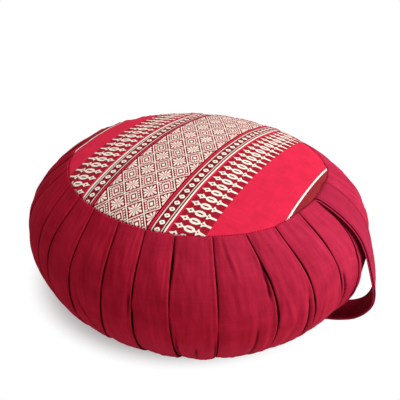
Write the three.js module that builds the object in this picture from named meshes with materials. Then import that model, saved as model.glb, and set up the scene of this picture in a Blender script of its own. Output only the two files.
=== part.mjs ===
// A zafu: a round meditation cushion with a knife-pleated side wall, a crowned top panel,
// a flat base panel and a carrying strap sewn from the top seam to the base seam.
// Millimetres, +Z up. The base panel lies on z = 0 with its centre at the origin, and the
// strap stands out towards +X.
import * as THREE from 'three';
import { mergeVertices } from 'three/addons/utils/BufferGeometryUtils.js';

// Driving dimensions of the stuffed cushion
const equatorRadius = 185;
const equatorHeight = 82;
const topSeamRadius = 138;
const topSeamHeight = 150;
const crownRise = 21;
const baseSeamRadius = 134;

// How the stuffed wall leaves each seam: its slope there, and how far it keeps it
const topSlope = THREE.MathUtils.degToRad(36);
const topPull = 33;
const baseSlope = THREE.MathUtils.degToRad(29);
const basePull = 34;
const shoulderPull = 33;
const bellyPull = 29;

// The filling has settled: the cushion stands a little higher on the side it leans towards
const leanToward = THREE.MathUtils.degToRad(200);
const leanShare = 0.048;

// Cloth sheets, and the clearance left between pieces that are sewn together
const panelThickness = 2;
const sewnGap = 0.6;

// Carrying strap
const strapWidth = 42;
const strapThickness = 2;

// Fineness of the faceted skins
const columnsPerPleat = 4;
const wallRings = 9;
const crownRings = 5;
const panelColumns = 64;
const strapSteps = 44;

// One row for each knife pleat: where its fold starts at the top seam, how far the fold
// drifts round by the time it reaches the base seam, and how deep the step under it is.
const pleats = [
  { at: -141, drift: 5, depth: 2.6 }, { at: -127.5, drift: 3, depth: 3.0 },
  { at: -116, drift: 4, depth: 3.4 }, { at: -103, drift: 3, depth: 3.2 },
  { at: -91, drift: 3, depth: 3.6 }, { at: -79, drift: 4, depth: 3.4 },
  { at: -64.5, drift: 1, depth: 3.8 }, { at: -51, drift: 6, depth: 3.0 },
  { at: -38, drift: 9, depth: 4.2 }, { at: -22.5, drift: 6, depth: 3.4 },
  { at: -9, drift: 3, depth: 3.0 }, { at: 4, drift: 3, depth: 2.8 },
  { at: 16, drift: 4, depth: 3.2 }, { at: 29.5, drift: 2, depth: 3.4 },
  { at: 41.5, drift: 4, depth: 3.0 }, { at: 54.5, drift: 3, depth: 3.6 },
  { at: 67, drift: 2, depth: 3.2 }, { at: 79, drift: 4, depth: 3.0 },
  { at: 92.5, drift: 3, depth: 3.8 }, { at: 105, drift: 5, depth: 3.4 },
  { at: 117, drift: 3, depth: 3.0 }, { at: 130.5, drift: 4, depth: 3.4 },
  { at: 143, drift: 2, depth: 3.2 }, { at: 155, drift: 4, depth: 3.6 },
  { at: 168.5, drift: 3, depth: 3.0 }, { at: 181, drift: 4, depth: 3.2 },
  { at: 193, drift: 5, depth: 3.4 }, { at: 206.5, drift: 4, depth: 3.0 },
];

// Across one pleat, from the bottom of the step to the lip of the next fold: the share of
// the pleat's width, and the share of the step that is still to be climbed there.
const pleatSection = [
  { across: 0, sunk: 1 },
  { across: 0.2, sunk: 0.45 },
  { across: 0.6, sunk: 0.1 },
  { across: 0.95, sunk: 0 },
];

// The strap's middle line, from the top seam over the wall, down to the floor and back
// under the wall to the base seam: distance out from the cushion's axis, and height.
const strapRoute = [
  { out: 139.6, up: 146.4 }, { out: 149, up: 139.8 }, { out: 158, up: 133 },
  { out: 166.5, up: 125.5 }, { out: 174.5, up: 116.5 }, { out: 181.5, up: 105.5 },
  { out: 187.2, up: 92 }, { out: 191, up: 79 }, { out: 194.2, up: 65 },
  { out: 196.6, up: 50 }, { out: 197, up: 35 }, { out: 193.5, up: 21 },
  { out: 185, up: 10 }, { out: 172, up: 3.6 }, { out: 159, up: 1.2 },
  { out: 146, up: 1 }, { out: 134.2, up: 1 },
];

// Height after the cushion has leaned; the base stays flat because height 0 stays 0.
function leaned(x, y, z) {
  const alongLean = x * Math.cos(leanToward) + y * Math.sin(leanToward);
  return z * (1 + (leanShare * alongLean) / equatorRadius);
}

// Outer surface of the crowned top panel at a distance from the axis
function crownHeight(radius) {
  return topSeamHeight + crownRise * (1 - (radius / topSeamRadius) ** 2);
}

// Points of the crown from the axis to the rim, lowered by `drop`
function crownLine(rimRadius, drop) {
  const line = [];
  for (let ring = 0; ring <= crownRings; ring += 1) {
    const radius = (rimRadius * ring) / crownRings;
    line.push(new THREE.Vector2(radius, crownHeight(Math.min(radius, topSeamRadius)) - drop));
  }
  return line;
}

// The stuffed wall's outline from the top seam, round the equator, to the base seam
function wallLine() {
  const topSeam = new THREE.Vector2(topSeamRadius + sewnGap, topSeamHeight);
  const baseSeam = new THREE.Vector2(baseSeamRadius, panelThickness + sewnGap);
  const equator = new THREE.Vector2(equatorRadius, equatorHeight);
  const shoulder = new THREE.CubicBezierCurve(
    topSeam,
    topSeam.clone().add(
      new THREE.Vector2(topPull * Math.cos(topSlope), -topPull * Math.sin(topSlope)),
    ),
    equator.clone().add(new THREE.Vector2(0, shoulderPull)),
    equator,
  );
  const belly = new THREE.CubicBezierCurve(
    equator,
    equator.clone().add(new THREE.Vector2(0, -bellyPull)),
    baseSeam.clone().add(
      new THREE.Vector2(basePull * Math.cos(baseSlope), basePull * Math.sin(baseSlope)),
    ),
    baseSeam,
  );
  return [...shoulder.getPoints(wallRings), ...belly.getPoints(wallRings).slice(1)];
}

// Direction of a fold line, in radians, at a share of the way down the wall
function foldDirection(pleatIndex, downShare) {
  const turns = Math.floor(pleatIndex / pleats.length);
  const pleat = pleats[pleatIndex % pleats.length];
  return THREE.MathUtils.degToRad(pleat.at + pleat.drift * downShare + 360 * turns);
}

// A lathed skin as one closed mesh with merged vertices, leaned with the cushion. The
// optional `shape` moves a point given by its radius, height, column and profile index.
function lathedSkin(profile, columns, shape) {
  const lathe = new THREE.LatheGeometry(profile, columns);
  const position = lathe.getAttribute('position');
  for (let column = 0; column <= columns; column += 1) {
    for (let level = 0; level < profile.length; level += 1) {
      const point = profile[level];
      const plain = { radius: point.x, angle: (2 * Math.PI * (column % columns)) / columns };
      const { radius, angle } = shape ? shape(plain, column % columns, level) : plain;
      const x = radius * Math.cos(angle);
      const y = radius * Math.sin(angle);
      position.setXYZ(column * profile.length + level, x, y, leaned(x, y, point.y));
    }
  }
  lathe.deleteAttribute('normal');
  lathe.deleteAttribute('uv');
  return outwardFacing(mergeVertices(lathe, 1e-3));
}

// Turns every triangle round if the closed mesh measures a negative volume, and leaves
// out the triangles that shrink to nothing on the axis.
function outwardFacing(geometry) {
  const position = geometry.getAttribute('position');
  const index = geometry.getIndex().array;
  const corner = [0, 1, 2].map(() => new THREE.Vector3());
  const kept = [];
  let sixVolumes = 0;
  for (let first = 0; first < index.length; first += 3) {
    const [a, b, c] = [index[first], index[first + 1], index[first + 2]];
    if (a !== b && b !== c && c !== a) {
      kept.push(a, b, c);
      [a, b, c].forEach((vertex, place) => corner[place].fromBufferAttribute(position, vertex));
      sixVolumes += corner[0].dot(corner[1].clone().cross(corner[2]));
    }
  }
  geometry.setIndex(sixVolumes < 0 ? kept.reverse() : kept);
  geometry.computeVertexNormals();
  return geometry;
}

// The filled body: crown under the top panel, a low step that the panel's edge sits in,
// the pleated wall, and the underside above the base panel.
function cushionBody() {
  const crown = crownLine(topSeamRadius + sewnGap, panelThickness + sewnGap);
  const wall = wallLine();
  const profile = [...crown, ...wall, new THREE.Vector2(0, panelThickness + sewnGap)];
  const firstWallLevel = crown.length;
  const lastWallLevel = crown.length + wall.length - 1;

  const pleated = ({ radius }, column, level) => {
    const reached = (level - firstWallLevel) / (lastWallLevel - firstWallLevel);
    const downShare = THREE.MathUtils.clamp(reached, 0, 1);
    const pleatIndex = Math.floor(column / columnsPerPleat);
    const { across, sunk } = pleatSection[column % columnsPerPleat];
    const from = foldDirection(pleatIndex, downShare);
    const to = foldDirection(pleatIndex + 1, downShare);
    const looseness = Math.sin(Math.PI * downShare) ** 0.5;
    const step = pleats[pleatIndex].depth * sunk * looseness;
    return { radius: Math.max(radius - step, 0), angle: from + (to - from) * across };
  };
  return lathedSkin(profile, pleats.length * columnsPerPleat, pleated);
}

// The crowned top panel, a sheet of even thickness
function topPanel() {
  const outside = crownLine(topSeamRadius, 0);
  const inside = crownLine(topSeamRadius, panelThickness).reverse();
  return lathedSkin([...outside, ...inside], panelColumns);
}

// The flat base panel, which the cushion rests on
function basePanel() {
  const outline = new THREE.Shape();
  outline.absarc(0, 0, baseSeamRadius - sewnGap, 0, 2 * Math.PI);
  return new THREE.ExtrudeGeometry(outline, {
    depth: panelThickness, curveSegments: panelColumns, bevelEnabled: false,
  });
}

// The strap: a ribbon of even thickness along its route, never below the floor
function carryingStrap() {
  const route = new THREE.SplineCurve(strapRoute.map(({ out, up }) => new THREE.Vector2(out, up)));
  const outer = [];
  const inner = [];
  for (let step = 0; step <= strapSteps; step += 1) {
    const share = step / strapSteps;
    const middle = route.getPointAt(share);
    middle.y = Math.max(middle.y, strapThickness / 2);
    const along = route.getTangentAt(share);
    const half = new THREE.Vector2(-along.y, along.x).multiplyScalar(strapThickness / 2);
    outer.push(middle.clone().add(half));
    inner.push(middle.clone().sub(half));
  }
  const ribbon = new THREE.Shape([...outer, ...inner.reverse()]);
  const strap = new THREE.ExtrudeGeometry(ribbon, { depth: strapWidth, bevelEnabled: false });
  strap.rotateX(Math.PI / 2);
  strap.translate(0, strapWidth / 2, 0);
  return strap;
}

function clothMesh(name, geometry, color) {
  const cloth = new THREE.MeshStandardMaterial({ color, roughness: 0.9, metalness: 0 });
  const mesh = new THREE.Mesh(geometry, cloth);
  mesh.name = name;
  return mesh;
}

const zafu = new THREE.Group();
zafu.add(
  clothMesh('cushion_body', cushionBody(), 0xa01a3a),
  clothMesh('top_panel', topPanel(), 0xc08078),
  clothMesh('base_panel', basePanel(), 0x98183a),
  clothMesh('handle', carryingStrap(), 0xb42850),
);

export default zafu;
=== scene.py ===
# %% [markdown]
# # A zafu: a round, pleated meditation cushion
#
# The real cushion is sewn from four cuts of cotton: a straight band that is knife-pleated
# and gathered into the side wall, a round top panel cut from a patterned weave, a plain round
# base, and a doubled strap caught in the top and base seams. It is stuffed hard with kapok.
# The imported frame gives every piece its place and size. Here each piece gets its true
# surface, and each cloth its weave, in that same frame: metres, +Z up, the strap towards +X.

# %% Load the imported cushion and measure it
import math
from collections import namedtuple

import bmesh
import bpy
import numpy as np
from mathutils import Matrix, Vector, noise
from mathutils.kdtree import KDTree


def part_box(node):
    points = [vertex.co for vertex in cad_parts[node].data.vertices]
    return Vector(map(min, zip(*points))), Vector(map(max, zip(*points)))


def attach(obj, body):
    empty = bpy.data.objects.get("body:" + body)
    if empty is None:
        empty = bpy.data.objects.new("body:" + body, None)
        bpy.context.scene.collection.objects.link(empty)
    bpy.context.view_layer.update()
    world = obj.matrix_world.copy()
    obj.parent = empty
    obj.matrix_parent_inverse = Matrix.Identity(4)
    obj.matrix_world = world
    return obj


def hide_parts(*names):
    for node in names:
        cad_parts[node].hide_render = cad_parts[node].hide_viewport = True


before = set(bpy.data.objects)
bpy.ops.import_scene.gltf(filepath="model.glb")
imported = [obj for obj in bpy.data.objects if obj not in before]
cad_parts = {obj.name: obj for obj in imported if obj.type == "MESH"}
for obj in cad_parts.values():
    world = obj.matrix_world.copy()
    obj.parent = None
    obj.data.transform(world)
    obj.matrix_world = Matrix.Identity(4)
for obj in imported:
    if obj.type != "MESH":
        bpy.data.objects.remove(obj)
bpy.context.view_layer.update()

MM = 0.001
BASE_SEAM_GAP = 0.6 * MM
seam_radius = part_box("top_panel")[1].y
base_seam_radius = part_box("base_panel")[1].y + BASE_SEAM_GAP
widest_radius = -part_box("cushion_body")[0].y
print("seam", seam_radius, "base seam", base_seam_radius, "widest", widest_radius)

# %% [markdown]
# ## The stuffed shape that all the cloths lie on
#
# Kapok settles, so the cushion stands a little higher on the side that it leans towards,
# and its shoulder has sunk a little at the back. The crown is a shallow dome, and the strap
# has drawn the top seam in by a few millimetres. A sculpted shape could show all this too,
# but then the cloths would have to be fitted to it one by one. As short formulas, the same
# rules serve every cloth, so all of them meet at the same seams.

# %% Lean and crown
LEAN_TOWARD = math.radians(200)
LEAN_SHARE = 0.048
SEAM_HEIGHT = 150 * MM
CROWN_RISE = 21 * MM
SUNK_SIDE = 66
SUNK_ROUND = 46
SUNK_BY = 2.6 * MM
DRAWN_SIDE = -9
DRAWN_ROUND = 25
DRAWN_BY = 6.2 * MM


def turn_between(direction, other):
    """How far one direction lies round from another, in radians, the shorter way."""
    return np.angle(np.exp(1j * (direction - other)))


def round_from(direction, degrees):
    """How far a direction lies from a given one, in degrees."""
    return np.degrees(np.abs(turn_between(direction, math.radians(degrees))))


def bell(distance, reach, power=2):
    """1 at no distance and almost 0 beyond the reach; a higher power has steeper sides."""
    return np.exp(-((distance / reach) ** power))


def leaned(x, y, z):
    """Height after the cushion has leaned and its shoulder has sunk."""
    along = x * math.cos(LEAN_TOWARD) + y * math.sin(LEAN_TOWARD)
    near_side = bell(round_from(np.arctan2(y, x), SUNK_SIDE), SUNK_ROUND)
    near_rim = np.clip(np.hypot(x, y) / seam_radius, 0, 1) ** 5
    sunk = SUNK_BY * near_side * near_rim * (z / SEAM_HEIGHT) ** 2
    return z * (1 + LEAN_SHARE * along / widest_radius) - sunk


def seam_drawn(direction):
    """How far the top seam is drawn in towards the axis."""
    return DRAWN_BY * bell(round_from(direction, DRAWN_SIDE), DRAWN_ROUND, 4)


def rim_drawn(radius, direction):
    """A distance out on the crown after the seam has been drawn in."""
    return radius - seam_drawn(direction) * (radius / seam_radius) ** 4


def crown_height(radius):
    """Height of the dome's outer face before it leans."""
    return SEAM_HEIGHT + CROWN_RISE * (1 - (radius / seam_radius) ** 2)


def turned(radius, angle, height):
    """Points from distances out, directions round and heights, with the lean put in."""
    radius, angle, height = np.broadcast_arrays(radius, angle, height)
    x = radius * np.cos(angle)
    y = radius * np.sin(angle)
    return np.stack([x, y, leaned(x, y, height)], axis=-1)


print("crown rises to", round(crown_height(0), 3), "m before it leans")

# %% [markdown]
# ## One way to make every cloth
#
# A cloth starts as a flat bmesh grid, as the cut does on the table. A skin could also be
# shrunk onto a finished shape, but a grid knows which column and row each corner belongs to,
# so a rule for the sewn shape can take it to its place, and the weave stays straight on it.
# The grid's flat sizes become the map named cloth, in metres, which the weave follows. Edges
# that meet are merged, and the faces are turned outwards.

# %% From a flat cut to a sewn piece
def made_piece(name, shell):
    """A smooth-shaded object from a bmesh, linked into the scene."""
    mesh = bpy.data.meshes.new(name)
    shell.to_mesh(mesh)
    shell.free()
    mesh.polygons.foreach_set("use_smooth", [True] * len(mesh.polygons))
    piece = bpy.data.objects.new(name, mesh)
    bpy.context.scene.collection.objects.link(piece)
    print(name, len(mesh.polygons), "faces")
    return piece


def sewn(name, places, cloth_map, bake_map, painted_fold_shade=None):
    """A mesh object from places[row, column], with its flat map and its bake map.

    Its painted shade attribute is 1 where the cloth lies deep in a fold, and 0 on the outside.
    """
    rows, columns = places.shape[0] - 1, places.shape[1] - 1
    cut = bmesh.new()
    bmesh.ops.create_grid(cut, x_segments=columns, y_segments=rows, size=0.5)
    cloth_layer = cut.loops.layers.uv.new("cloth")
    bake_layer = cut.loops.layers.uv.new("OFBake")
    painted_shade_layer = cut.verts.layers.float.new("tuck")
    spots = [
        (round((corner.co.y + 0.5) * rows), round((corner.co.x + 0.5) * columns))
        for corner in cut.verts
    ]
    for face in cut.faces:
        for loop in face.loops:
            row, column = spots[loop.vert.index]
            loop[cloth_layer].uv = cloth_map[row, column]
            loop[bake_layer].uv = bake_map[row, column]
    for corner, (row, column) in zip(cut.verts, spots):
        corner.co = places[row, column]
        corner[painted_shade_layer] = 0 if painted_fold_shade is None else painted_fold_shade[row, column]
    bmesh.ops.remove_doubles(cut, verts=cut.verts, dist=0.01 * MM)
    bmesh.ops.dissolve_degenerate(cut, edges=cut.edges, dist=0.001 * MM)
    bmesh.ops.recalc_face_normals(cut, faces=cut.faces)
    return made_piece(name, cut)


def running_length(points, axis):
    """Length along a row or column of points, from its start to each point."""
    steps = np.linalg.norm(np.diff(points, axis=axis), axis=-1)
    start = np.zeros_like(np.take(steps, [0], axis=axis))
    return np.cumsum(np.concatenate([start, steps], axis=axis), axis=axis)


def evenly(line, shares):
    """Points at shares of the length of a line of (distance out, height) points."""
    reached = running_length(line, 0)
    wanted = shares * reached[-1]
    return np.stack([np.interp(wanted, reached, line[:, k]) for k in (0, 1)], axis=-1)


# %% [markdown]
# ## The outline of the stuffed wall
#
# Seen from the side, the wall leaves the top seam on a slope, swells to its widest below
# half height, and rolls in under the cushion to the base seam. A list of points would do,
# but two curves with a pull at each end give the same outline from a few sizes, as a
# pattern cutter draws it. The wall is measured out in rows, a little closer near the seams.

# %% Wall outline
def drawn_curve(start, first_pull, second_pull, end, steps=60):
    """A curve from start to end that leaves and arrives along its two pulls."""
    share = np.linspace(0, 1, steps + 1)[:, None]
    left = 1 - share
    return (
        left**3 * np.array(start)
        + 3 * left**2 * share * np.array(first_pull)
        + 3 * left * share**2 * np.array(second_pull)
        + share**3 * np.array(end)
    )


def on_slope(point, degrees, reach):
    """A point that lies reach away, at so many degrees above the level."""
    slope = math.radians(degrees)
    return (point[0] + reach * math.cos(slope), point[1] + reach * math.sin(slope))


WALL_ROWS = 76
CLOSER_AT_SEAMS = 0.28
TOP_SLOPE = -36
TOP_PULL = 33 * MM
SHOULDER_PULL = 33 * MM
BASE_PULL = 35 * MM
WIDEST_HEIGHT = 82 * MM
# How far the wall's cloth lies outside the two seam rings, and below the top one.
TOP_SEAM_OUT = 0.8 * MM
TOP_SEAM_DOWN = 0.4 * MM
BASE_SEAM_OUT = 0.5 * MM
even = np.linspace(0, 1, WALL_ROWS + 1)
down = (1 - CLOSER_AT_SEAMS) * even + CLOSER_AT_SEAMS * (0.5 - 0.5 * np.cos(math.pi * even))
top_seam = (seam_radius + TOP_SEAM_OUT, SEAM_HEIGHT - TOP_SEAM_DOWN)
widest = (widest_radius, WIDEST_HEIGHT)
shoulder = drawn_curve(
    top_seam, on_slope(top_seam, TOP_SLOPE, TOP_PULL), (widest[0], widest[1] + SHOULDER_PULL), widest
)


def wall_outline(base_height, base_slope, belly_pull):
    """Distance out and height at each wall row, for one way of sitting on the floor."""
    base_seam = (base_seam_radius + BASE_SEAM_OUT, base_height)
    belly = drawn_curve(
        widest,
        (widest[0], widest[1] - belly_pull),
        on_slope(base_seam, base_slope, BASE_PULL),
        base_seam,
    )
    return evenly(np.concatenate([shoulder, belly[1:]]), down)


drawn_in = wall_outline(base_height=2.8 * MM, base_slope=31, belly_pull=28 * MM)
settled = wall_outline(base_height=1.4 * MM, base_slope=25, belly_pull=30 * MM)
mean_out = (drawn_in[:, 0] + settled[:, 0]) / 2
print("wall from seam to seam, mm:", round(running_length(drawn_in, 0)[-1] / MM))

# %% [markdown]
# ## Knife pleats
#
# Every pleat is folded the same way round: the cloth runs up to a rounded fold, turns back
# under itself, and comes out again on a lower level, from which it climbs to the next
# fold. Creases in a bump map would look flat at the outline, so each fold is real cloth: the
# section below is one such pleat, and the table gives each pleat its own place, drift and
# depth, because they were laid by hand.

# %% Pleat table
def table(columns, rows):
    """The rows of a small table, with named columns."""
    row = namedtuple("row", columns)
    return [row(*values) for values in rows]


# at: where the fold starts at the top seam; by_middle and by_foot: how far it has drifted
# round there, all in degrees; step: the drop under the fold, and gap: its width, in mm.
PLEATS = table("at by_middle by_foot step gap", [
    (-140.5, 8, 9, 1.8, 0.5),
    (-128, 3, 3, 2.2, 0.6),
    (-117, 4, 1.5, 2.8, 0.8),
    (-103, 2.6, -2, 3.2, 0.9),
    (-91, 1, 0.4, 3.6, 1.0),
    (-79, 0.8, 1.6, 3.4, 1.1),
    (-64.5, 0.3, 0.6, 3.8, 1.2),
    (-51, 5, 5.6, 2.2, 2.0),
    (-38, 5.6, 8.5, 1.8, 2.4),
    (-22.5, 3, 9, 1.6, 2.4),
    (-6, -3.7, -3.5, 1.6, 3.0),
    (4, 2, 3, 1.8, 1.8),
    (16, 3, 4, 1.8, 2.0),
    (29.5, 1, 2, 2.0, 2.0),
    (41.5, 3, 4, 2.0, 1.8),
    (54.5, 2, 3, 2.2, 1.9),
    (67, 1, 2, 2.0, 1.8),
    (79, 3, 4, 2.2, 1.8),
    (92.5, 2, 3, 2.4, 1.9),
    (105, 4, 5, 2.2, 1.7),
    (117, 2, 3, 2.4, 1.7),
    (130.5, 3, 4, 2.4, 1.6),
    (143, 1, 2, 2.6, 1.5),
    (155, 3, 4, 2.8, 1.4),
    (168.5, 2, 3, 2.8, 1.2),
    (181, 3, 4, 2.8, 1.2),
    (193, 4, 5, 2.4, 0.8),
    (206.5, 3, 4, 1.6, 0.5),
])
# How far down the wall the middle and the foot of a fold are counted.
MIDDLE = 0.45
FOOT = 0.85

# Where a fold is pressed flat or stands open: the fold's number, the share down, how far
# that reaches each way, and how many times as wide the gap is there.
GAP_CHANGES = table("fold at reach times", [
    (1, 0.56, 0.05, 0.15),
    (2, 0.66, 0.05, 0.15),
    (4, 0.40, 0.03, 0.20),
    (5, 0.13, 0.11, 2.20),
    (5, 0.42, 0.07, 0.12),
    (6, 0.49, 0.08, 0.02),
    (7, 0.26, 0.05, 1.60),
    (8, 0.80, 0.08, 1.40),
    (11, 0.30, 0.05, 0.15),
    (15, 0.50, 0.05, 0.15),
    (20, 0.40, 0.05, 0.15),
    (25, 0.55, 0.05, 0.15),
])
print(len(PLEATS), "pleats")

# %% Section of one pleat
# From the bottom of the tuck under one fold to the underside of the next. across: share of
# the open width; tucked: share of TUCK; sunk: share of the step; shift: how far round, in
# gaps if it is positive and in mm if it is negative; lift: height in mm; columns: how many
# columns of cloth lead on to the next point.
PLEAT_SECTION = table("across tucked sunk shift lift columns", [
    (0.00, -1.0, 0.30, 0.00, -5.0, 1),
    (0.00, -0.2, 0.30, 0.00, -5.2, 1),
    (0.00, 0.0, 0.50, 0.70, -4.2, 1),
    (0.00, 0.0, 0.80, 0.85, -2.2, 1),
    (0.00, 0.0, 0.95, 1.00, -0.9, 1),
    (0.00, 0.0, 1.00, 1.25, -0.1, 1),
    (0.03, 0.0, 1.00, 1.60, 0.0, 3),
    (0.14, 0.0, 0.85, 0.80, 0.0, 5),
    (0.34, 0.0, 0.50, 0.20, 0.0, 6),
    (0.56, 0.0, 0.18, 0.00, 0.0, 6),
    (0.78, 0.0, 0.03, 0.00, 0.0, 5),
    (1.00, 0.0, 0.00, -4.50, 0.0, 1),
    (1.00, 0.0, 0.00, -2.90, 0.30, 1),
    (1.00, 0.0, 0.00, -1.90, 0.50, 1),
    (1.00, 0.0, 0.00, -0.90, 0.25, 1),
    (1.00, 0.0, 0.00, -0.20, -0.3, 1),
    (1.00, 0.0, 0.00, -0.15, -1.2, 1),
    (1.00, 0.0, 0.00, -0.90, -2.6, 1),
])
TUCK = 5 * MM
STEP_SHARE = 0.4

pleat_columns = []
for start, end in zip(PLEAT_SECTION, PLEAT_SECTION[1:] + [PLEAT_SECTION[0]._replace(across=1)]):
    for share in np.arange(start.columns) / start.columns:
        pleat_columns.append(np.array(start[:-1]) * (1 - share) + np.array(end[:-1]) * share)
PLEAT_COLUMNS = len(pleat_columns)
COLUMNS = len(PLEATS) * PLEAT_COLUMNS
print(PLEAT_COLUMNS, "columns to a pleat,", COLUMNS, "in all")

# %% Fold lines and their gaps
WANDER = 0.3
UNEVEN_GAP = 0.5


def noise_down(share, index, index_step, often, seed):
    """A soft noise from -1 to 1 at each share of the way down a fold."""
    return np.array([noise.noise(Vector((index_step * index, often * at, seed))) for at in share])


def fold_direction(pleat, share):
    """Direction of a fold line, in radians, at each share of the way down the wall."""
    turn, index = divmod(pleat, len(PLEATS))
    fold = PLEATS[index]
    drift = fold.by_middle * share * (FOOT - share) / (MIDDLE * (FOOT - MIDDLE))
    drift += fold.by_foot * share * (share - MIDDLE) / (FOOT * (FOOT - MIDDLE))
    wander = WANDER * noise_down(share, index, 3.1, 3.2, 5)
    return np.radians(fold.at + drift + wander + 360 * turn)


def open_gap(index, share):
    """How wide a fold's gap stands open, in millimetres, down the wall."""
    uneven = 1 + UNEVEN_GAP * noise_down(share, index, 5.3, 5.5, 9)
    gap = PLEATS[index].gap * uneven * (0.5 + 0.5 * np.sin(math.pi * share))
    for change in GAP_CHANGES:
        if change.fold == index:
            gap *= 1 + (change.times - 1) * bell(share - change.at, change.reach)
    return gap


print("widest gap, mm:", round(max(open_gap(fold, down).max() for fold in range(len(PLEATS))), 1))

# %% [markdown]
# ## Wrinkles of the stuffed cloth
#
# Between the folds the cloth is not perfectly smooth. It puckers where it is gathered into
# the seams, and long soft drags run down from some of the folds. Plain noise would make
# lumps with no direction, so each wrinkle is a soft ridge or trough along a slanting line.
# The ones that show most are listed one by one, and the rest come from a seeded draw, so
# that they are the same on each run.

# %% Wrinkle ridges
# start_at and end_at: its direction at its two ends, in degrees; start and end: how far down
# those lie; width and height: in mm, and a trough has a height below 0.
HAND_WRINKLES = [
    (-60.2, -56.6, 0.01, 0.28, 1.6, 1.2),
    (-61.4, -57.7, 0.01, 0.25, 1.6, -1.0),
    (-48.9, -47.8, 0.13, 0.38, 1.5, -2.8),
    (-44.0, -38.5, 0.30, 0.60, 3.0, 0.7),
    (-34.8, -31.5, 0.36, 0.90, 1.8, -2.6),
    (-33.0, -31.6, 0.62, 0.94, 1.6, -2.0),
    (-36.5, -34.0, 0.42, 0.80, 2.4, 0.9),
    (-28.0, -25.0, 0.50, 0.80, 2.6, 0.8),
    (-42.5, -41.5, 0.55, 0.86, 2.2, 0.9),
    (-39.5, -38.0, 0.60, 0.90, 2.0, -0.9),
    (-51.6, -51.4, 0.48, 0.94, 1.7, -2.2),
    (-53.8, -53.6, 0.40, 0.80, 2.4, 0.8),
    (-49.2, -48.4, 0.48, 0.84, 2.2, 1.1),
    (-59.0, -60.5, 0.62, 0.92, 2.0, 0.7),
    (-64.6, -64.2, 0.50, 0.95, 1.6, -1.5),
    (-66.5, -66.0, 0.44, 0.72, 2.0, 0.9),
    (-70.6, -70.5, 0.64, 0.84, 1.5, -1.6),
    (-76.8, -76.3, 0.50, 0.96, 1.5, -1.6),
    (-84.0, -83.0, 0.60, 0.97, 2.2, 0.6),
    (-90.6, -90.9, 0.30, 0.52, 1.5, -1.5),
    (-92.5, -92.5, 0.25, 0.50, 2.0, 0.6),
    (-109.6, -103.5, 0.46, 0.78, 1.6, -2.6),
    (-108.0, -106.0, 0.05, 0.35, 2.6, 0.5),
    (-96.0, -94.0, 0.06, 0.30, 2.4, 0.5),
    (-14.0, -12.5, 0.04, 0.22, 1.6, -0.6),
    (-16.5, -14.0, 0.10, 0.40, 2.4, 0.5),
    (-18.6, -13.0, 0.36, 0.74, 1.4, -3.2),
    (-15.6, -11.0, 0.42, 0.74, 1.6, 1.0),
    (12.0, 16.0, 0.02, 0.30, 1.6, -0.9),
    (22.0, 25.0, 0.02, 0.26, 1.8, -0.8),
    (-8.0, -8.5, 0.26, 0.88, 2.4, 2.0),
    (-8.5, -6.0, 0.36, 0.94, 14.0, 3.7),
]
FOOT_PUCKERS = 46
TOP_PUCKERS = 40
SOFT_DRAGS = 34
drawn_wrinkles = []
draw = np.random.default_rng(11).uniform
for _ in range(FOOT_PUCKERS):
    at = draw(-180, 180)
    drawn_wrinkles.append(
        (at, at + draw(-2, 2), draw(0.72, 0.86), 1.0, draw(1.4, 2.6), draw(-1.3, 0.7))
    )
for _ in range(TOP_PUCKERS):
    at = draw(-180, 180)
    drawn_wrinkles.append(
        (at, at + draw(-1, 3), 0.0, draw(0.10, 0.26), draw(1.2, 2.2), draw(-0.5, 0.6))
    )
for _ in range(SOFT_DRAGS):
    at = draw(-180, 180)
    start = draw(0.15, 0.5)
    drawn_wrinkles.append(
        (at, at + draw(-1, 4), start, start + draw(0.2, 0.4), draw(2.4, 4.5), draw(-0.5, 0.5))
    )
WRINKLES = table("start_at end_at start end width height", HAND_WRINKLES + drawn_wrinkles)
print(len(HAND_WRINKLES), "wrinkles by hand and", len(drawn_wrinkles), "drawn")


def ridge_height(direction, share, out):
    """Height of all the wrinkles, in metres, at points of the wall."""
    total = np.zeros_like(direction)
    for ridge in WRINKLES:
        along = np.clip((share - ridge.start) / (ridge.end - ridge.start), 0, 1)
        line = np.radians(ridge.start_at + (ridge.end_at - ridge.start_at) * along)
        apart = turn_between(direction, line) * out
        inside = (share >= ridge.start) & (share <= ridge.end)
        swell = np.sin(math.pi * along) ** 0.7 * inside
        total += ridge.height * MM * bell(apart, ridge.width * MM) * swell
    return total


# %% [markdown]
# ## The wall's outline on each side
#
# The settled side bulges lower and lies wider on the floor than the rest, which is drawn in
# more towards the base seam. One outline all round would look turned on a lathe, so the two
# outlines are mixed softly by direction.

# %% Outline on each side
SETTLED_SIDE = -38
SETTLED_NEAR = 24
SETTLED_FAR = 52


def eased(value, low, high):
    """0 below low, 1 above high, and a soft step between them."""
    share = np.clip((value - low) / (high - low), 0, 1)
    return share * share * (3 - 2 * share)


def stuffed_outline(directions):
    """Distance out and height of the wall, and its slope, for rows of directions."""
    away = round_from(directions, SETTLED_SIDE)
    gathered_in = eased(away, SETTLED_NEAR, SETTLED_FAR)[..., None]
    outline = gathered_in * drawn_in[:, None] + (1 - gathered_in) * settled[:, None]
    slope = np.gradient(outline, axis=0)
    return outline, slope / np.linalg.norm(slope, axis=-1)[..., None]


print("the settled side faces", SETTLED_SIDE, "degrees")

# %% [markdown]
# ## Stuffed with kapok
#
# The stuffing presses the cloth outwards everywhere, and the folds hold it back, so every
# pleat fills out between its two folds. A formula can only guess where, so a short cloth
# simulation finds it: a coarse closed bag with the wall's outline is blown up while its seams
# and its fold lines are held. It runs on a coarse bag because the fine wall has folds that
# would catch on each other. How far each place has moved out is kept, and a share of it is
# put into the wall.

# %% Blow up a coarse bag
BAG_PARTS = 8
BAG_ROW = 2
BAG_FOOT_HEIGHT = 2 * MM
SWELL_LIMIT = 5 * MM
SWELL_STEPS = 20
AIR_PRESSURE = 4
FOLD_HELD = 0.8


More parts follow.
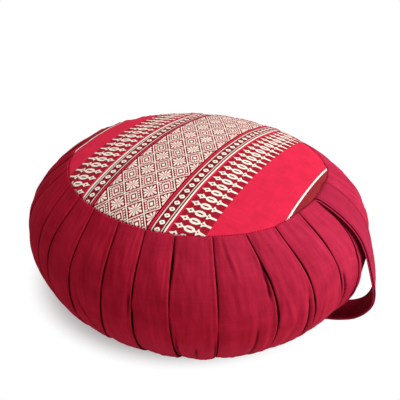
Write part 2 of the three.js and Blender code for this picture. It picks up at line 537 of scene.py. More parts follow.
def nearest_corners(piece, places):
    """The number of the mesh corner that lies nearest to each place."""
    corners = KDTree(len(piece.data.vertices))
    for number, corner in enumerate(piece.data.vertices):
        corners.insert(corner.co, number)
    corners.balance()
    found = [corners.find(place)[1] for place in places.reshape(-1, 3)]
    return np.array(found).reshape(places.shape[:-1])


def blown_up(bag, nearest):
    """Places of the bag's wall after the air has filled it."""
    free = {int(number) for number in nearest[1:-1].flat}
    seams = [corner.index for corner in bag.data.vertices if corner.index not in free]
    fold_lines = sorted({int(number) for number in nearest[:, ::BAG_PARTS].flat})
    held = bag.vertex_groups.new(name="held")
    held.add(list(range(len(bag.data.vertices))), 0, "REPLACE")
    held.add(fold_lines, FOLD_HELD, "REPLACE")
    held.add(seams, 1, "REPLACE")
    cloth = bag.modifiers.new("stuffing", "CLOTH")
    cloth.settings.vertex_group_mass = held.name
    cloth.settings.use_pressure = True
    cloth.settings.uniform_pressure_force = AIR_PRESSURE
    cloth.settings.effector_weights.gravity = 0
    cloth.settings.bending_stiffness = 5
    cloth.settings.shrink_min = -0.015
    cloth.settings.quality = 5
    cloth.point_cache.frame_start = 1
    cloth.point_cache.frame_end = SWELL_STEPS
    for step in range(1, SWELL_STEPS + 1):
        bpy.context.scene.frame_set(step)
    blown = bag.evaluated_get(bpy.context.evaluated_depsgraph_get()).data
    after = np.zeros(3 * len(blown.vertices))
    blown.vertices.foreach_get("co", after)
    bpy.context.scene.frame_set(1)
    return after.reshape(-1, 3)[nearest]


def bag_swelling():
    """How far the bag's cloth moves out, for each bag row and part of each pleat."""
    parts = len(PLEATS) * BAG_PARTS
    way = np.zeros((WALL_ROWS + 1, parts + 1))
    for part in range(parts + 1):
        pleat, step = divmod(part, BAG_PARTS)
        left, right = fold_direction(pleat, down), fold_direction(pleat + 1, down)
        way[:, part] = left + (right - left) * step / BAG_PARTS
    outline, slope = (grid[::BAG_ROW] for grid in stuffed_outline(way))
    way = way[::BAG_ROW]
    wall = turned(outline[..., 0], way, outline[..., 1])
    lid = turned(0, way[0], SEAM_HEIGHT)
    foot = turned(0, way[-1], BAG_FOOT_HEIGHT)
    places = np.concatenate([lid[None], wall, foot[None]])
    bag = sewn("bag", places, places[..., :2], places[..., :2])
    moved = blown_up(bag, nearest_corners(bag, wall)) - wall
    bpy.data.objects.remove(bag)
    outwards = moved[..., 0] * np.cos(way) + moved[..., 1] * np.sin(way)
    swollen = -outwards * slope[..., 1] + moved[..., 2] * slope[..., 0]
    return np.clip(swollen, -SWELL_LIMIT, SWELL_LIMIT)


# %% Keep a share of the swelling
SWELL_KEPT = 0.3
ROW_WEIGHTS = [0.1, 0.2, 0.4, 0.2, 0.1]
swelling = np.zeros((WALL_ROWS + 1, len(PLEATS) * BAG_PARTS + 1))
blown = bag_swelling()
blown -= blown.mean(axis=1, keepdims=True)
padded_rows = np.pad(blown, ((len(ROW_WEIGHTS) // 2,) * 2, (0, 0)), "edge")
for part in range(swelling.shape[1]):
    smoothed = np.convolve(padded_rows[:, part], ROW_WEIGHTS, "valid")
    swelling[:, part] = SWELL_KEPT * np.interp(down, down[::BAG_ROW], smoothed)
print("stuffing moves the wall, mm:", *np.round([swelling.min() / MM, swelling.max() / MM], 2))

# %% [markdown]
# ## The pleated wall, corner by corner
#
# Each column of the cloth follows one point of the pleat section down the wall. Near the
# seams the folds are sewn flat and the cloth between them puffs up. Where a fold is pressed
# shut, its step and its gap close with it. Three sizes of soft noise keep the stuffing
# uneven.

# %% Corners of the pleated wall
# Shares of the way down over which the pleats are sewn flat, and how full they are there.
TOP_GATHER = 0.10
FOOT_GATHER = 0.14
LEAST_FULL = 0.35
# A fold whose gap is under PRESSED_GAP is pressed flat. Painted shade darkens the cloth
# between these depths in a fold whose gap is at least DARK_GAP, and in troughs deeper than
# TROUGH_FROM. All are in mm.
PRESSED_GAP = 0.25
DARK_GAP = 0.7
DARK_FROM, DARK_TO = 0.2, 1.0
TROUGH_FROM = 0.75
# How often it comes round the wall and down it, and how high it is in mm.
UNEVEN_STUFFING = [(8, 2.2, 0.9), (26, 4, 0.5), (70, 3, 0.35)]

clear_of_seams = np.clip(down / TOP_GATHER, 0, 1) ** 0.8
clear_of_seams *= np.clip((1 - down) / FOOT_GATHER, 0.3, 1)
fullness = LEAST_FULL + (1 - LEAST_FULL) * clear_of_seams
# The cloth puffs up between the folds by 0.7 mm at the top seam and 0.3 mm at the foot.
puffed = 0.7 * MM * np.exp(-down / 0.16) + 0.3 * MM * np.exp(-(1 - down) / 0.13)


def swelling_at(place):
    """The kept swelling down the wall, at a place round it counted in bag parts."""
    low = min(int(place), swelling.shape[1] - 2)
    past = place - low
    return swelling[:, low] * (1 - past) + swelling[:, low + 1] * past


def wall_column(column):
    """Direction, lift above the outline, and painted shade in a fold, down one column."""
    pleat, part = divmod(column, PLEAT_COLUMNS)
    across, tucked, sunk, shift, lift = pleat_columns[part]
    left = fold_direction(pleat, down)
    right = fold_direction(pleat + 1, down)
    fold = (pleat + int(across == 1)) % len(PLEATS)
    gap = open_gap(fold, down)
    standing = np.clip(gap / PRESSED_GAP, 0.15, 1)
    shift_round = tucked * TUCK + shift * MM * (gap if shift > 0 else 1)
    direction = left + (right - left) * across + shift_round / mean_out
    step = PLEATS[fold].step * MM * STEP_SHARE * standing
    rise = lift * MM * (standing if -2 < lift < 0 else 1)
    lifted = (rise - step * sunk) * fullness + puffed * 4 * across * (1 - across)
    lifted += swelling_at((pleat % len(PLEATS) + across) * BAG_PARTS)
    # Painted shade: the deeper the cloth lies in an open fold, the darker it is painted.
    fold_shade_here = np.clip((-lift - DARK_FROM) / (DARK_TO - DARK_FROM), 0, 1)
    fold_shade_here = fold_shade_here * np.clip(gap / DARK_GAP, 0.05, 1)
    return direction, lifted, fold_shade_here


grids = [np.stack(grid, axis=-1) for grid in zip(*map(wall_column, range(COLUMNS + 1)))]
directions, lifts, painted_fold_shade = grids
wrinkles = ridge_height(directions, down[:, None], mean_out[:, None])
lifts += wrinkles
# Painted shade in the troughs of the wrinkles, too.
painted_fold_shade = np.maximum(painted_fold_shade, np.clip((-wrinkles / MM - TROUGH_FROM) / 0.8, 0, 0.8))
for row, column in np.ndindex(directions.shape):
    way = directions[row, column]
    for around, downwards, high in UNEVEN_STUFFING:
        spot = Vector((around * math.cos(way), around * math.sin(way), downwards * down[row]))
        lifts[row, column] += high * MM * noise.noise(spot)
lifts[:, -1] = lifts[:, 0]

FLOOR_ROOM = 0.7 * MM
DRAWN_REACH = 0.25
RISES_WHEN_DRAWN = 0.3
outline, slopes = stuffed_outline(directions)
drawn = seam_drawn(directions) * np.clip(1 - down[:, None] / DRAWN_REACH, 0, 1) ** 2
wall_out = outline[..., 0] - lifts * slopes[..., 1] - drawn
wall_up = outline[..., 1] + lifts * slopes[..., 0] + RISES_WHEN_DRAWN * drawn
wall_places = turned(wall_out, directions, np.maximum(wall_up, FLOOR_ROOM))
print("wall corners", wall_places.shape)

# %% [markdown]
# ## The filled cushion as one closed form
#
# The filled cushion is one closed form: the wall, a flat underside, and a crown that
# carries the top panel. Above the top seam the cloth turns in under the panel's edge. The
# wall alone would be an open tube, so plain rings close it above and below, where the other
# cloths cover them.

# %% Close the body above and below the wall
even_way = np.linspace(0, 2 * math.pi, COLUMNS + 1)
seam_way = directions[0] - directions[0, 0]
CROWN_RINGS = (0, 60 * MM, 105 * MM, seam_radius - 3 * MM)
PANEL_ROOM = 2.6 * MM
TURNED_IN = 0.6 * MM
TURNED_DOWN = 2.4 * MM
UNDERSIDE_HEIGHT = 2.4 * MM


def level_ring(radius, height, twist):
    """A ring of corners with no pleats in it; twist 0 spaces it evenly, 1 as the seam."""
    way = directions[0, 0] + even_way * (1 - twist) + seam_way * twist
    drawn = radius - rim_drawn(radius, way) if height > SEAM_HEIGHT / 2 else 0
    return turned(radius - drawn, way, height + RISES_WHEN_DRAWN * drawn)


def flat_map(across, along):
    """A map of the cloth from its values across and its values along."""
    return np.stack(np.broadcast_arrays(across, along), axis=-1)


above = [level_ring(radius, crown_height(radius) - PANEL_ROOM, 0) for radius in CROWN_RINGS]
above.append(level_ring(seam_radius - TURNED_IN, SEAM_HEIGHT - TURNED_DOWN, 0.7))
below = [
    level_ring(radius, UNDERSIDE_HEIGHT, 0)
    for radius in np.linspace(base_seam_radius - 2 * MM, 0, 5)
]
body_places = np.concatenate([above, wall_places, below])
more_rows = ((len(above), len(below)), (0, 0))

round_length = running_length(wall_places, 1)
band_length = float(np.median(round_length[:, -1]))
around = round_length / round_length[:, -1:] * band_length
down_length = running_length(body_places, 0)[:, :1]
body_map = flat_map(np.pad(around, more_rows, "edge"), down_length)

# The bake map gives most of its height to the rows of the wall, which show.
wall_starts, last_row = len(above), len(body_places) - 1
bake_down = np.interp(
    np.arange(len(body_places)),
    [0, wall_starts, wall_starts + WALL_ROWS, last_row],
    [0.01, 0.10, 0.90, 0.99],
)
body_bake = flat_map(np.linspace(0.01, 0.99, COLUMNS + 1), bake_down[:, None])
side_wall = sewn("side_wall", body_places, body_map, body_bake, np.pad(painted_fold_shade, more_rows))
print("pleated band is", round(band_length, 3), "m round when pulled flat")

# %% [markdown]
# ## The top panel
#
# A disc of patterned cloth, pulled tight over the crown. The weave could be wrapped over it
# from above, but a real panel is cut straight from the cloth, so its flat map is the disc
# laid out on the table, and the stripes run across it. The pleats pull little dimples into
# its edge, and the edge itself turns down into the seam.

# %% Rings of the top panel
PANEL_RINGS = 40
PANEL_COLUMNS = 336
PANEL_CLOTH = 0.9 * MM
PANEL_PUFF = 0.9 * MM
ROLL_REACH = 4.5 * MM
DIMPLE_REACH = 9 * MM
DIMPLE_WIDE = 2.4
DIMPLE_IN = 0.3 * MM
DIMPLE_DOWN = 0.35 * MM
LUMP_SIZE = 55 * MM
LUMP_HEIGHT = 0.8 * MM
CALM_REACH = 12 * MM
CLOSER_AT_RIM = 1.35

ring_share = np.linspace(0, 1, PANEL_RINGS + 1)
flat_rings = (seam_radius - 0.9 * MM) * (1 - (1 - ring_share) ** CLOSER_AT_RIM)
# The edge rolls over the seam: how far out and how far down its last rings lie.
edge_out = seam_radius + np.array([-0.3, 0.1, 0.0, -0.5]) * MM
edge_down = np.array([0.5, 1.3, 2.3, 3.1]) * MM
panel_out = np.concatenate([flat_rings, edge_out])[:, None]
panel_up = np.concatenate([crown_height(flat_rings), SEAM_HEIGHT - edge_down])[:, None]
panel_way = np.linspace(0, 2 * math.pi, PANEL_COLUMNS + 1)
from_seam = seam_radius - panel_out
inside_seam = np.clip(from_seam, 0, None)

dimples = sum(bell(round_from(panel_way, pleat.at), DIMPLE_WIDE) for pleat in PLEATS)
pull = bell(inside_seam, DIMPLE_REACH) * dimples
roll = np.exp(-inside_seam / ROLL_REACH)
panel_drawn = panel_out - rim_drawn(panel_out, panel_way)
calm_out = panel_out - panel_drawn
calm_up = panel_up + RISES_WHEN_DRAWN * panel_drawn
ring_out = calm_out - DIMPLE_IN * pull
ring_up = calm_up + PANEL_PUFF * (1 - roll) - DIMPLE_DOWN * pull
lumpy = np.clip(1 - 0.7 * bell(from_seam[:, 0], CALM_REACH), 0, None)
for row, column in np.ndindex(ring_up.shape):
    way = panel_way[column]
    spot = Vector((math.cos(way), math.sin(way), 0)) * float(panel_out[row, 0] / LUMP_SIZE)
    ring_up[row, column] += LUMP_HEIGHT * noise.noise(spot) * lumpy[row]
ring_up[:, -1] = ring_up[:, 0]
ring_up[0] = ring_up[0, 0]
panel_places = turned(ring_out, panel_way, ring_up)
print("panel corners", panel_places.shape)

# %% Cut the top panel
# The weave has bowed a little in its length: how far along that starts, over what length,
# how far the stripes shift, how much closer they come, and the line they close up on.
STRIPES_RUN = math.radians(82.8)
BOW_FROM = -100 * MM
BOW_LENGTH = 150 * MM
BOW_SHIFT = 2 * MM
BOW_CLOSER = 0.035
BOW_LINE = 18 * MM

panel_reach = running_length(np.stack([calm_out, calm_up], axis=-1), 0)
along_stripes = panel_reach * np.cos(panel_way - STRIPES_RUN)
across_stripes = -panel_reach * np.sin(panel_way - STRIPES_RUN)
bowed = np.clip((along_stripes - BOW_FROM) / BOW_LENGTH, 0, 1.4)
across_stripes -= bowed * (BOW_SHIFT - BOW_CLOSER * (across_stripes - BOW_LINE))
panel_map = flat_map(along_stripes, across_stripes)
disc = panel_reach / panel_reach[-1] * 0.49
panel_bake = flat_map(0.5 + disc * np.cos(panel_way), 0.5 + disc * np.sin(panel_way))
top_panel = sewn("patterned_top", panel_places, panel_map, panel_bake)


def thickened(piece, thickness):
    """Gives a cloth its thickness, below the face that shows."""
    wall = piece.modifiers.new("cloth thickness", "SOLIDIFY")
    wall.thickness = thickness
    wall.offset = -1
    wall.use_even_offset = True


thickened(top_panel, PANEL_CLOTH)

# %% [markdown]
# ## The base panel
#
# A plain disc, flat on the floor, with its edge turned up a little into the base seam. A
# filled circle would do for the flat part, but the same grid gives it a flat map for its
# weave. Its outer face looks down.

# %% Base panel
BASE_CLOTH = 0.9 * MM
BASE_COLUMNS = 120
# Distance out and height of its rings, in mm, on a base seam 134 mm in radius.
BASE_RINGS = [
    (0, 0), (40, 0), (80, 0), (110, 0), (124, 0), (130, 0), (132.4, 0.15), (133.2, 0.6),
]
base_out, base_up = np.array(BASE_RINGS).T * [[base_seam_radius / 134], [MM]]
base_way = -np.linspace(0, 2 * math.pi, BASE_COLUMNS + 1)
base_places = turned(base_out[:, None], base_way, base_up[:, None])
base_bake = 0.5 + base_places[..., :2] / base_out[-1] * 0.49
base_panel = sewn("base_cloth", base_places, base_places[..., :2], base_bake)
if base_panel.data.polygons[0].normal.z > 0:
    base_panel.data.flip_normals()
thickened(base_panel, BASE_CLOTH)

# %% [markdown]
# ## The carrying strap
#
# A band of two plies of cotton with their edges turned in and stitched together near the
# edge, so a slit shows between them. It comes out of the top seam, lies over the shoulder of
# the wall, hangs clear of it below, and runs back under the cushion to the base seam. A
# simulated strap would slide off its place, so the section of the two plies is carried
# along a route of listed points, and then twisted and cupped a little.

# %% Strap route
STRAP_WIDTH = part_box("handle")[1].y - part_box("handle")[0].y
STRAP_STEPS = 64
# Distance out from the cushion's axis, and height, in millimetres.
STRAP_ROUTE = [
    (131.4, 145.0), (134.8, 147.3), (143.2, 143.2), (152.0, 137.6), (160.0, 131.4),
    (167.5, 124.5), (175.0, 116.0), (181.5, 105.5), (187.0, 92.0), (190.6, 79.0),
    (194.0, 65.5), (196.8, 53.0), (198.2, 41.0), (197.0, 30.5), (192.8, 21.5),
    (187.0, 14.2), (179.0, 8.6), (166.0, 4.2), (150.0, 2.2), (133.4, 1.4),
]


def smooth_route(points, steps, between_points=12):
    """Evenly spaced points on a smooth curve through the given ones."""
    ends = [2 * points[0] - points[1], *points, 2 * points[-1] - points[-2]]
    curve = []
    for before, start, end, after in zip(ends, ends[1:], ends[2:], ends[3:]):
        for share in np.linspace(0, 1, between_points, endpoint=False):
            curve.append(
                0.5 * (
                    2 * start
                    + (end - before) * share
                    + (2 * before - 5 * start + 4 * end - after) * share**2
                    + (3 * start - before - 3 * end + after) * share**3
                )
            )
    return evenly(np.array([*curve, points[-1]]), np.linspace(0, 1, steps + 1))


strap_line = smooth_route(np.array(STRAP_ROUTE) * MM, STRAP_STEPS)
strap_length = float(running_length(strap_line, 0)[-1])
strap_along = np.gradient(strap_line, axis=0)
strap_along /= np.linalg.norm(strap_along, axis=1)[:, None]
strap_out = np.stack([-strap_along[:, 1], strap_along[:, 0]], axis=-1)
print("strap is", round(strap_length, 3), "m long and", round(STRAP_WIDTH, 3), "m wide")

# %% Strap section
# Each ply, from the slit between the two, round its turned-in edge, to the strap's
# middle: distance in from the edge and out from the slit in mm, and how much painted shade it
# carries, in the slit, in the hem's groove and on the inner ply, which faces the cushion.
OUTER_PLY = [
    (3.2, 0.12, 1.0), (2.5, 0.20, 1.0), (2.0, 0.60, 0.8), (1.9, 1.10, 0.2),
    (2.3, 1.50, 0.0), (3.2, 1.60, 0.0), (4.2, 1.50, 0.0), (4.6, 1.20, 0.2),
    (5.2, 1.20, 0.2), (5.8, 1.35, 0.0), (8.0, 1.10, 0.0), (14.0, 1.00, 0.0),
]
INNER_PLY = [
    (3.2, 0.12, 1.0), (2.3, 0.10, 0.7), (1.2, 0.00, 0.0), (0.1, 0.30, 0.0),
    (0.0, 0.90, 0.0), (0.6, 1.45, 0.1), (3.2, 1.50, 0.3), (3.9, 1.20, 0.4),
    (4.5, 1.20, 0.4), (5.1, 1.45, 0.3), (8.0, 1.20, 0.3), (14.0, 1.00, 0.3),
]
half_width = STRAP_WIDTH / 2


def edge_to_edge(ply):
    """Place from the strap's middle, lift from the slit and darkness, right across a ply."""
    inwards, lift, dark = np.array(ply).T * [[MM], [MM], [1]]
    near_half = np.array([inwards - half_width, lift, dark])
    return np.concatenate([near_half, near_half[:, ::-1] * [[-1], [1], [1]]], axis=1)


face = edge_to_edge(OUTER_PLY)
back = edge_to_edge(INNER_PLY) * [[1], [-1], [1]]
loop_side, loop_lift, loop_painted_shade = np.concatenate([face, back[:, ::-1], face[:, :1]], axis=1)
print("strap section has", len(loop_side) - 1, "corners")

# %% Sweep the strap along its route
STRAP_FLOOR_ROOM = 0.5 * MM
STRAP_WAVE = 0.5 * MM
HUG = 1.6 * MM
# Shares of the way along between which the strap hangs clear of the wall.
FREE_FROM, FREE_TO = 0.12, 0.84
# Share of the way along, and how far the near edge stands out there in mm, the far edge in.
STRAP_TWIST = [
    (0.12, 0.0), (0.32, 2.2), (0.48, 3.4), (0.58, 4.0), (0.64, 3.2),
    (0.70, 1.2), (0.75, -0.4), (0.82, -1.4), (0.90, -0.8), (1.00, 0.0),
]
strap_share = np.linspace(0, 1, STRAP_STEPS + 1)
twist = np.interp(strap_share, *np.array(STRAP_TWIST).T)[:, None] * MM
free_share = np.clip((strap_share - FREE_FROM) / (FREE_TO - FREE_FROM), 0, 1)
hangs_free = np.sin(math.pi * free_share)[:, None] ** 2
hugs_seam = (bell(strap_share, 0.10) + 0.5 * bell(1 - strap_share, 0.08))[:, None]

side = loop_side / half_width
waves = [[noise.noise(Vector((9 * share, 1.4 * at, 2))) for at in side] for share in strap_share]
lift = loop_lift - twist * side + STRAP_WAVE * hangs_free * (np.array(waves) - side**2)
strap_x = strap_line[:, :1] + strap_out[:, :1] * lift - HUG * side**2 * hugs_seam
strap_z = np.maximum(strap_line[:, 1:] + strap_out[:, 1:] * lift, STRAP_FLOOR_ROOM)
strap_places = np.stack(np.broadcast_arrays(strap_x, loop_side, strap_z), axis=-1)

loop_reach = running_length(np.stack([loop_side, loop_lift], axis=-1), 0)
face_or_back = np.where(loop_lift > 0, loop_side, STRAP_WIDTH - loop_side)
strap_map = flat_map(face_or_back, strap_share[:, None] * strap_length)
strap_bake = flat_map(0.02 + 0.40 * loop_reach / loop_reach[-1], 0.02 + 0.96 * strap_share[:, None])
# Painted shade across the strap, as listed for each corner of its section.
strap_painted_shade = np.repeat(loop_painted_shade[None], STRAP_STEPS + 1, 0)
strap = sewn("carrying_strap", strap_places, strap_map, strap_bake, strap_painted_shade)


def ends_closed(piece):
    """Fills the open ends of a swept piece."""
    shell = bmesh.new()
    shell.from_mesh(piece.data)
    bmesh.ops.holes_fill(shell, edges=[edge for edge in shell.edges if edge.is_boundary])
    bmesh.ops.recalc_face_normals(shell, faces=shell.faces)
    shell.to_mesh(piece.data)
    shell.free()


def finer(piece, levels):
    """Adds a Subdivision Surface that rounds the piece's facets."""
    rounding = piece.modifiers.new("rounding", "SUBSURF")
    rounding.levels = levels
    rounding.render_levels = levels
    rounding.use_limit_surface = False


ends_closed(strap)
finer(strap, 1)

# %% [markdown]
# ## Stitches
#
# Small stitches hold the strap's hems and run round the top seam. Painted dashes would not
# catch the light, so each one is a short rounded bead of thread, turned along its seam and
# half sunk in the cloth. Hundreds of them make a piece, so one stitch has only a few faces.

# %% Stitches along a line
STITCH_EVERY = 3.0 * MM
STITCH_LONG = 2.1 * MM
THREAD = 0.36 * MM


def read_at(distance, reached, values):
    """The place or direction at a distance along a line."""
    return Vector([float(np.interp(distance, reached, values[:, k])) for k in range(3)])


def stitched(name, lines):
    """One piece with a stitch at even steps along each line of (place, outward) pairs."""
    thread = bmesh.new()
    lengthways = Matrix.Rotation(math.pi / 2, 4, "Y")
    size = Matrix.Diagonal((STITCH_LONG / 2, THREAD, THREAD, 1))
    for line, outward in lines:
        reached = running_length(line, 0)
        count = int(reached[-1] // STITCH_EVERY)
        for number in range(count):
            spot = (number + 0.5) * reached[-1] / count
            place = read_at(spot, reached, line)
            along = (read_at(spot + MM, reached, line) - place).normalized()
            side = read_at(spot, reached, outward).cross(along).normalized()
            turn = Matrix((along, side, along.cross(side))).transposed().to_4x4()
            bmesh.ops.create_uvsphere(
                thread, u_segments=6, v_segments=4, radius=1,
                matrix=Matrix.Translation(place) @ turn @ size @ lengthways,
            )
    return made_piece(name, thread)


# %% Stitch the hems and the top seam
# The stitches lie in the hem's groove, which is this corner of each ply's half.
HEM_STITCH = 8
RIM_RING = PANEL_RINGS + 1
RIM_LOOKS_UP = 0.6
last_face = face.shape[1] - 1
outer_face = np.stack([strap_out[:, 0], 0 * strap_out[:, 0], strap_out[:, 1]], axis=-1)
strap_stitches = stitched("strap_stitches", [
    (strap_places[:, HEM_STITCH], outer_face),
    (strap_places[:, last_face - HEM_STITCH], outer_face),
    (strap_places[:, last_face + 1 + HEM_STITCH], -outer_face),
    (strap_places[:, 2 * last_face + 1 - HEM_STITCH], -outer_face),
])

looks_up = np.full_like(panel_way, RIM_LOOKS_UP)
rim_outward = np.stack([np.cos(panel_way), np.sin(panel_way), looks_up], axis=-1)
seam_stitches = stitched("seam_stitches", [(panel_places[RIM_RING], rim_outward)])

# %% [markdown]
# ## Cotton, as a maker sees it
#
# Plain-woven cotton is matt. Its threads cross over and under, and no two are equally thick,
# so the colour drifts a little along them. Noise alone would look like felt, so a small rule
# weaves warp and weft. It is one shader group with named inputs, placed in each cloth's
# material, and it reads the cloth's own flat map, so the threads follow the folds.

# %% Helpers for shader nodes
def feed(tree, value, socket):
    """Links a value into a socket, or sets it there if it is plain."""
    if isinstance(value, bpy.types.NodeSocket):
        tree.links.new(value, socket)
    else:
        socket.default_value = value


def adder(tree):
    """A function that adds one Math node to the tree and gives its value."""
    def work(operation, *terms, clamp=False):
        node = tree.nodes.new("ShaderNodeMath")
        node.operation = operation
        node.use_clamp = clamp
        for socket, term in zip(node.inputs, terms):
            feed(tree, term, socket)
        return node.outputs[0]
    return work


def new_group(name, takes, gives):
    """An empty shader group with named inputs and outputs."""
    group = bpy.data.node_groups.new(name, "ShaderNodeTree")
    for label, kind, value in takes:
        socket = group.interface.new_socket(name=label, in_out="INPUT", socket_type=kind)
        if value is not None:
            socket.default_value = value
    for label in gives:
        group.interface.new_socket(name=label, in_out="OUTPUT", socket_type="NodeSocketFloat")
    return group, group.nodes.new("NodeGroupInput"), group.nodes.new("NodeGroupOutput")


def placed_group(tree, group, **values):
    """Places a group in a tree, with sockets linked or set by name."""
    node = tree.nodes.new("ShaderNodeGroup")
    node.node_tree = group
    for label, value in values.items():
        feed(tree, value, node.inputs[label.replace("_", " ")])
    return node


def parts_of(tree, vector):
    """The x, y and z of a vector."""
    split = tree.nodes.new("ShaderNodeSeparateXYZ")
    tree.links.new(vector, split.inputs[0])
    return list(split.outputs)


def noise_at(tree, place, waves, detail):
    """A noise value from 0 to 1 at a place, with so many waves to the metre along each axis."""
    mapping = tree.nodes.new("ShaderNodeMapping")
    mapping.inputs["Scale"].default_value = waves
    tree.links.new(place, mapping.inputs["Vector"])
    texture = tree.nodes.new("ShaderNodeTexNoise")
    texture.inputs["Scale"].default_value = 1
    texture.inputs["Detail"].default_value = detail
    tree.links.new(mapping.outputs[0], texture.inputs["Vector"])
    return texture.outputs[0]


def mixed(tree, share, first, second, blend="MIX"):
    """A colour between two colours, or blended from them."""
    node = tree.nodes.new("ShaderNodeMix")
    node.data_type = "RGBA"
    node.blend_type = blend
    factor, colour_a, colour_b, result = 0, 6, 7, 2
    feed(tree, share, node.inputs[factor])
    feed(tree, first, node.inputs[colour_a])
    feed(tree, second, node.inputs[colour_b])
    return node.outputs[result]


def dyed(red, green, blue):
    """A dye colour from its everyday 0 to 255 values, as the shaders want it."""
    def linear(part):
        part /= 255
        return part / 12.92 if part <= 0.04045 else ((part + 0.055) / 1.055) ** 2.4
    return (linear(red), linear(green), linear(blue), 1)


print("a middle red in shader values:", [round(part, 3) for part in dyed(156, 18, 38)])

# %% Plain weave group
THREADS_PER_MM = 1.8
SLUB_WAVES = (700, 30, 1)
CLOUD_WAVES = (55, 55, 55)
SLUB_SHARE = 0.22
CLOUD_SHARE = 0.56
weave, takes, gives = new_group(
    "plain weave",
    [("Cloth", "NodeSocketVector", None), ("Threads per mm", "NodeSocketFloat", THREADS_PER_MM)],
    ["Height", "Tone"],
)
work = adder(weave)
cloth = takes.outputs["Cloth"]
per_metre = work("MULTIPLY", takes.outputs["Threads per mm"], 1000)
warp_place, weft_place = [work("MULTIPLY", part, per_metre) for part in parts_of(weave, cloth)[:2]]
warp_round, weft_round = [
    work("ABSOLUTE", work("SINE", work("MULTIPLY", place, math.pi)))
    for place in (warp_place, weft_place)
]
crossing = work("ADD", work("FLOOR", warp_place), work("FLOOR", weft_place))
warp_over = work("PINGPONG", crossing, 1)
weft_over = work("SUBTRACT", 1, warp_over)
height = work(
    "ADD", work("MULTIPLY", warp_over, warp_round), work("MULTIPLY", weft_over, weft_round)
)
weave.links.new(height, gives.inputs["Height"])
warp_slub = noise_at(weave, cloth, SLUB_WAVES, 2)
weft_slub = noise_at(weave, cloth, (SLUB_WAVES[1], SLUB_WAVES[0], 1), 2)
slubs = work("MULTIPLY", work("ADD", warp_slub, weft_slub), SLUB_SHARE)
tone = work("MULTIPLY_ADD", noise_at(weave, cloth, CLOUD_WAVES, 4), CLOUD_SHARE, slubs)
weave.links.new(tone, gives.inputs["Tone"])
print("group", weave.name, len(weave.nodes), "nodes")


# %% Cotton shader
def cloth_place(tree):
    """The piece's own flat map."""
    node = tree.nodes.new("ShaderNodeUVMap")
    node.uv_map = "cloth"
    return node.outputs[0]


def object_place(tree):
    """The place on the piece, in metres."""
    return tree.nodes.new("ShaderNodeTexCoord").outputs["Object"]


def cotton_shader(name, roughness=0.85, sheen=0.0, sheen_colour=dyed(255, 130, 170)):
    """A material with a matt cotton surface; gives it and its nodes."""
    material = bpy.data.materials.new(name)
    material.use_nodes = True
    tree = material.node_tree
    shader = tree.nodes["Principled BSDF"]
    shader.inputs["Roughness"].default_value = roughness
    shader.inputs["Specular IOR Level"].default_value = 0.02
    shader.inputs["Sheen Weight"].default_value = sheen
    shader.inputs["Sheen Roughness"].default_value = 0.45
    shader.inputs["Sheen Tint"].default_value = sheen_colour
    return material, tree, shader


def bumped(tree, shader, height, strength, distance):
    """Feeds a height into the shader's normal."""
    bump = tree.nodes.new("ShaderNodeBump")
    bump.inputs["Strength"].default_value = strength
    bump.inputs["Distance"].default_value = distance
    tree.links.new(height, bump.inputs["Height"])
    tree.links.new(bump.outputs[0], shader.inputs["Normal"])


# %% [markdown]
# ## Painted light, painted bounce light and painted fold shade
#
# The wall is paler and pinker towards the window lamp and on its shoulder: painted light.
# Its foot is paler near the floor: painted bounce light. No light comes out of a deep fold, so
# the cloth there carries painted shade. Both kinds of painted light are grades along a
# direction, read from the place on the piece, and the folds carry their painted shade as a
# point attribute.

# %% Plain cottons
# How much the painted light towards the window lamp and the painted bounce light near the
# floor grow for each metre along X, Y and Z, and what they are at the middle of the base.
LIT_SIDE_RISE = (5.3, 0.9, 9.0)
LIT_SIDE_START = -0.9
FLOOR_BOUNCE_RISE = (0, 0, -33)
FLOOR_BOUNCE_START = 2.05
FLOOR_BOUNCE_AT_MOST = 0.5
STREAK_WAVES = (130, 9, 1)
STREAK_SHARE = 0.6
# The cloth is fresh where its blotches are under 0.55, and fully worn from 1.05.
WORN_FROM, WORN_TO = 0.55, 1.05
# Painted shade deep in a fold.
FOLD_SHADE_COLOUR = dyed(52, 3, 9)
# Painted bounce light from the floor, near the foot of the wall.
FLOOR_BOUNCE_COLOUR = dyed(200, 48, 76)


def graded(tree, rise, start):
    """A share from 0 to 1 that grows along a direction."""
    slope = tree.nodes.new("ShaderNodeVectorMath")
    slope.operation = "DOT_PRODUCT"
    slope.inputs[1].default_value = rise
    tree.links.new(object_place(tree), slope.inputs[0])
    return adder(tree)("ADD", slope.outputs["Value"], start, clamp=True)


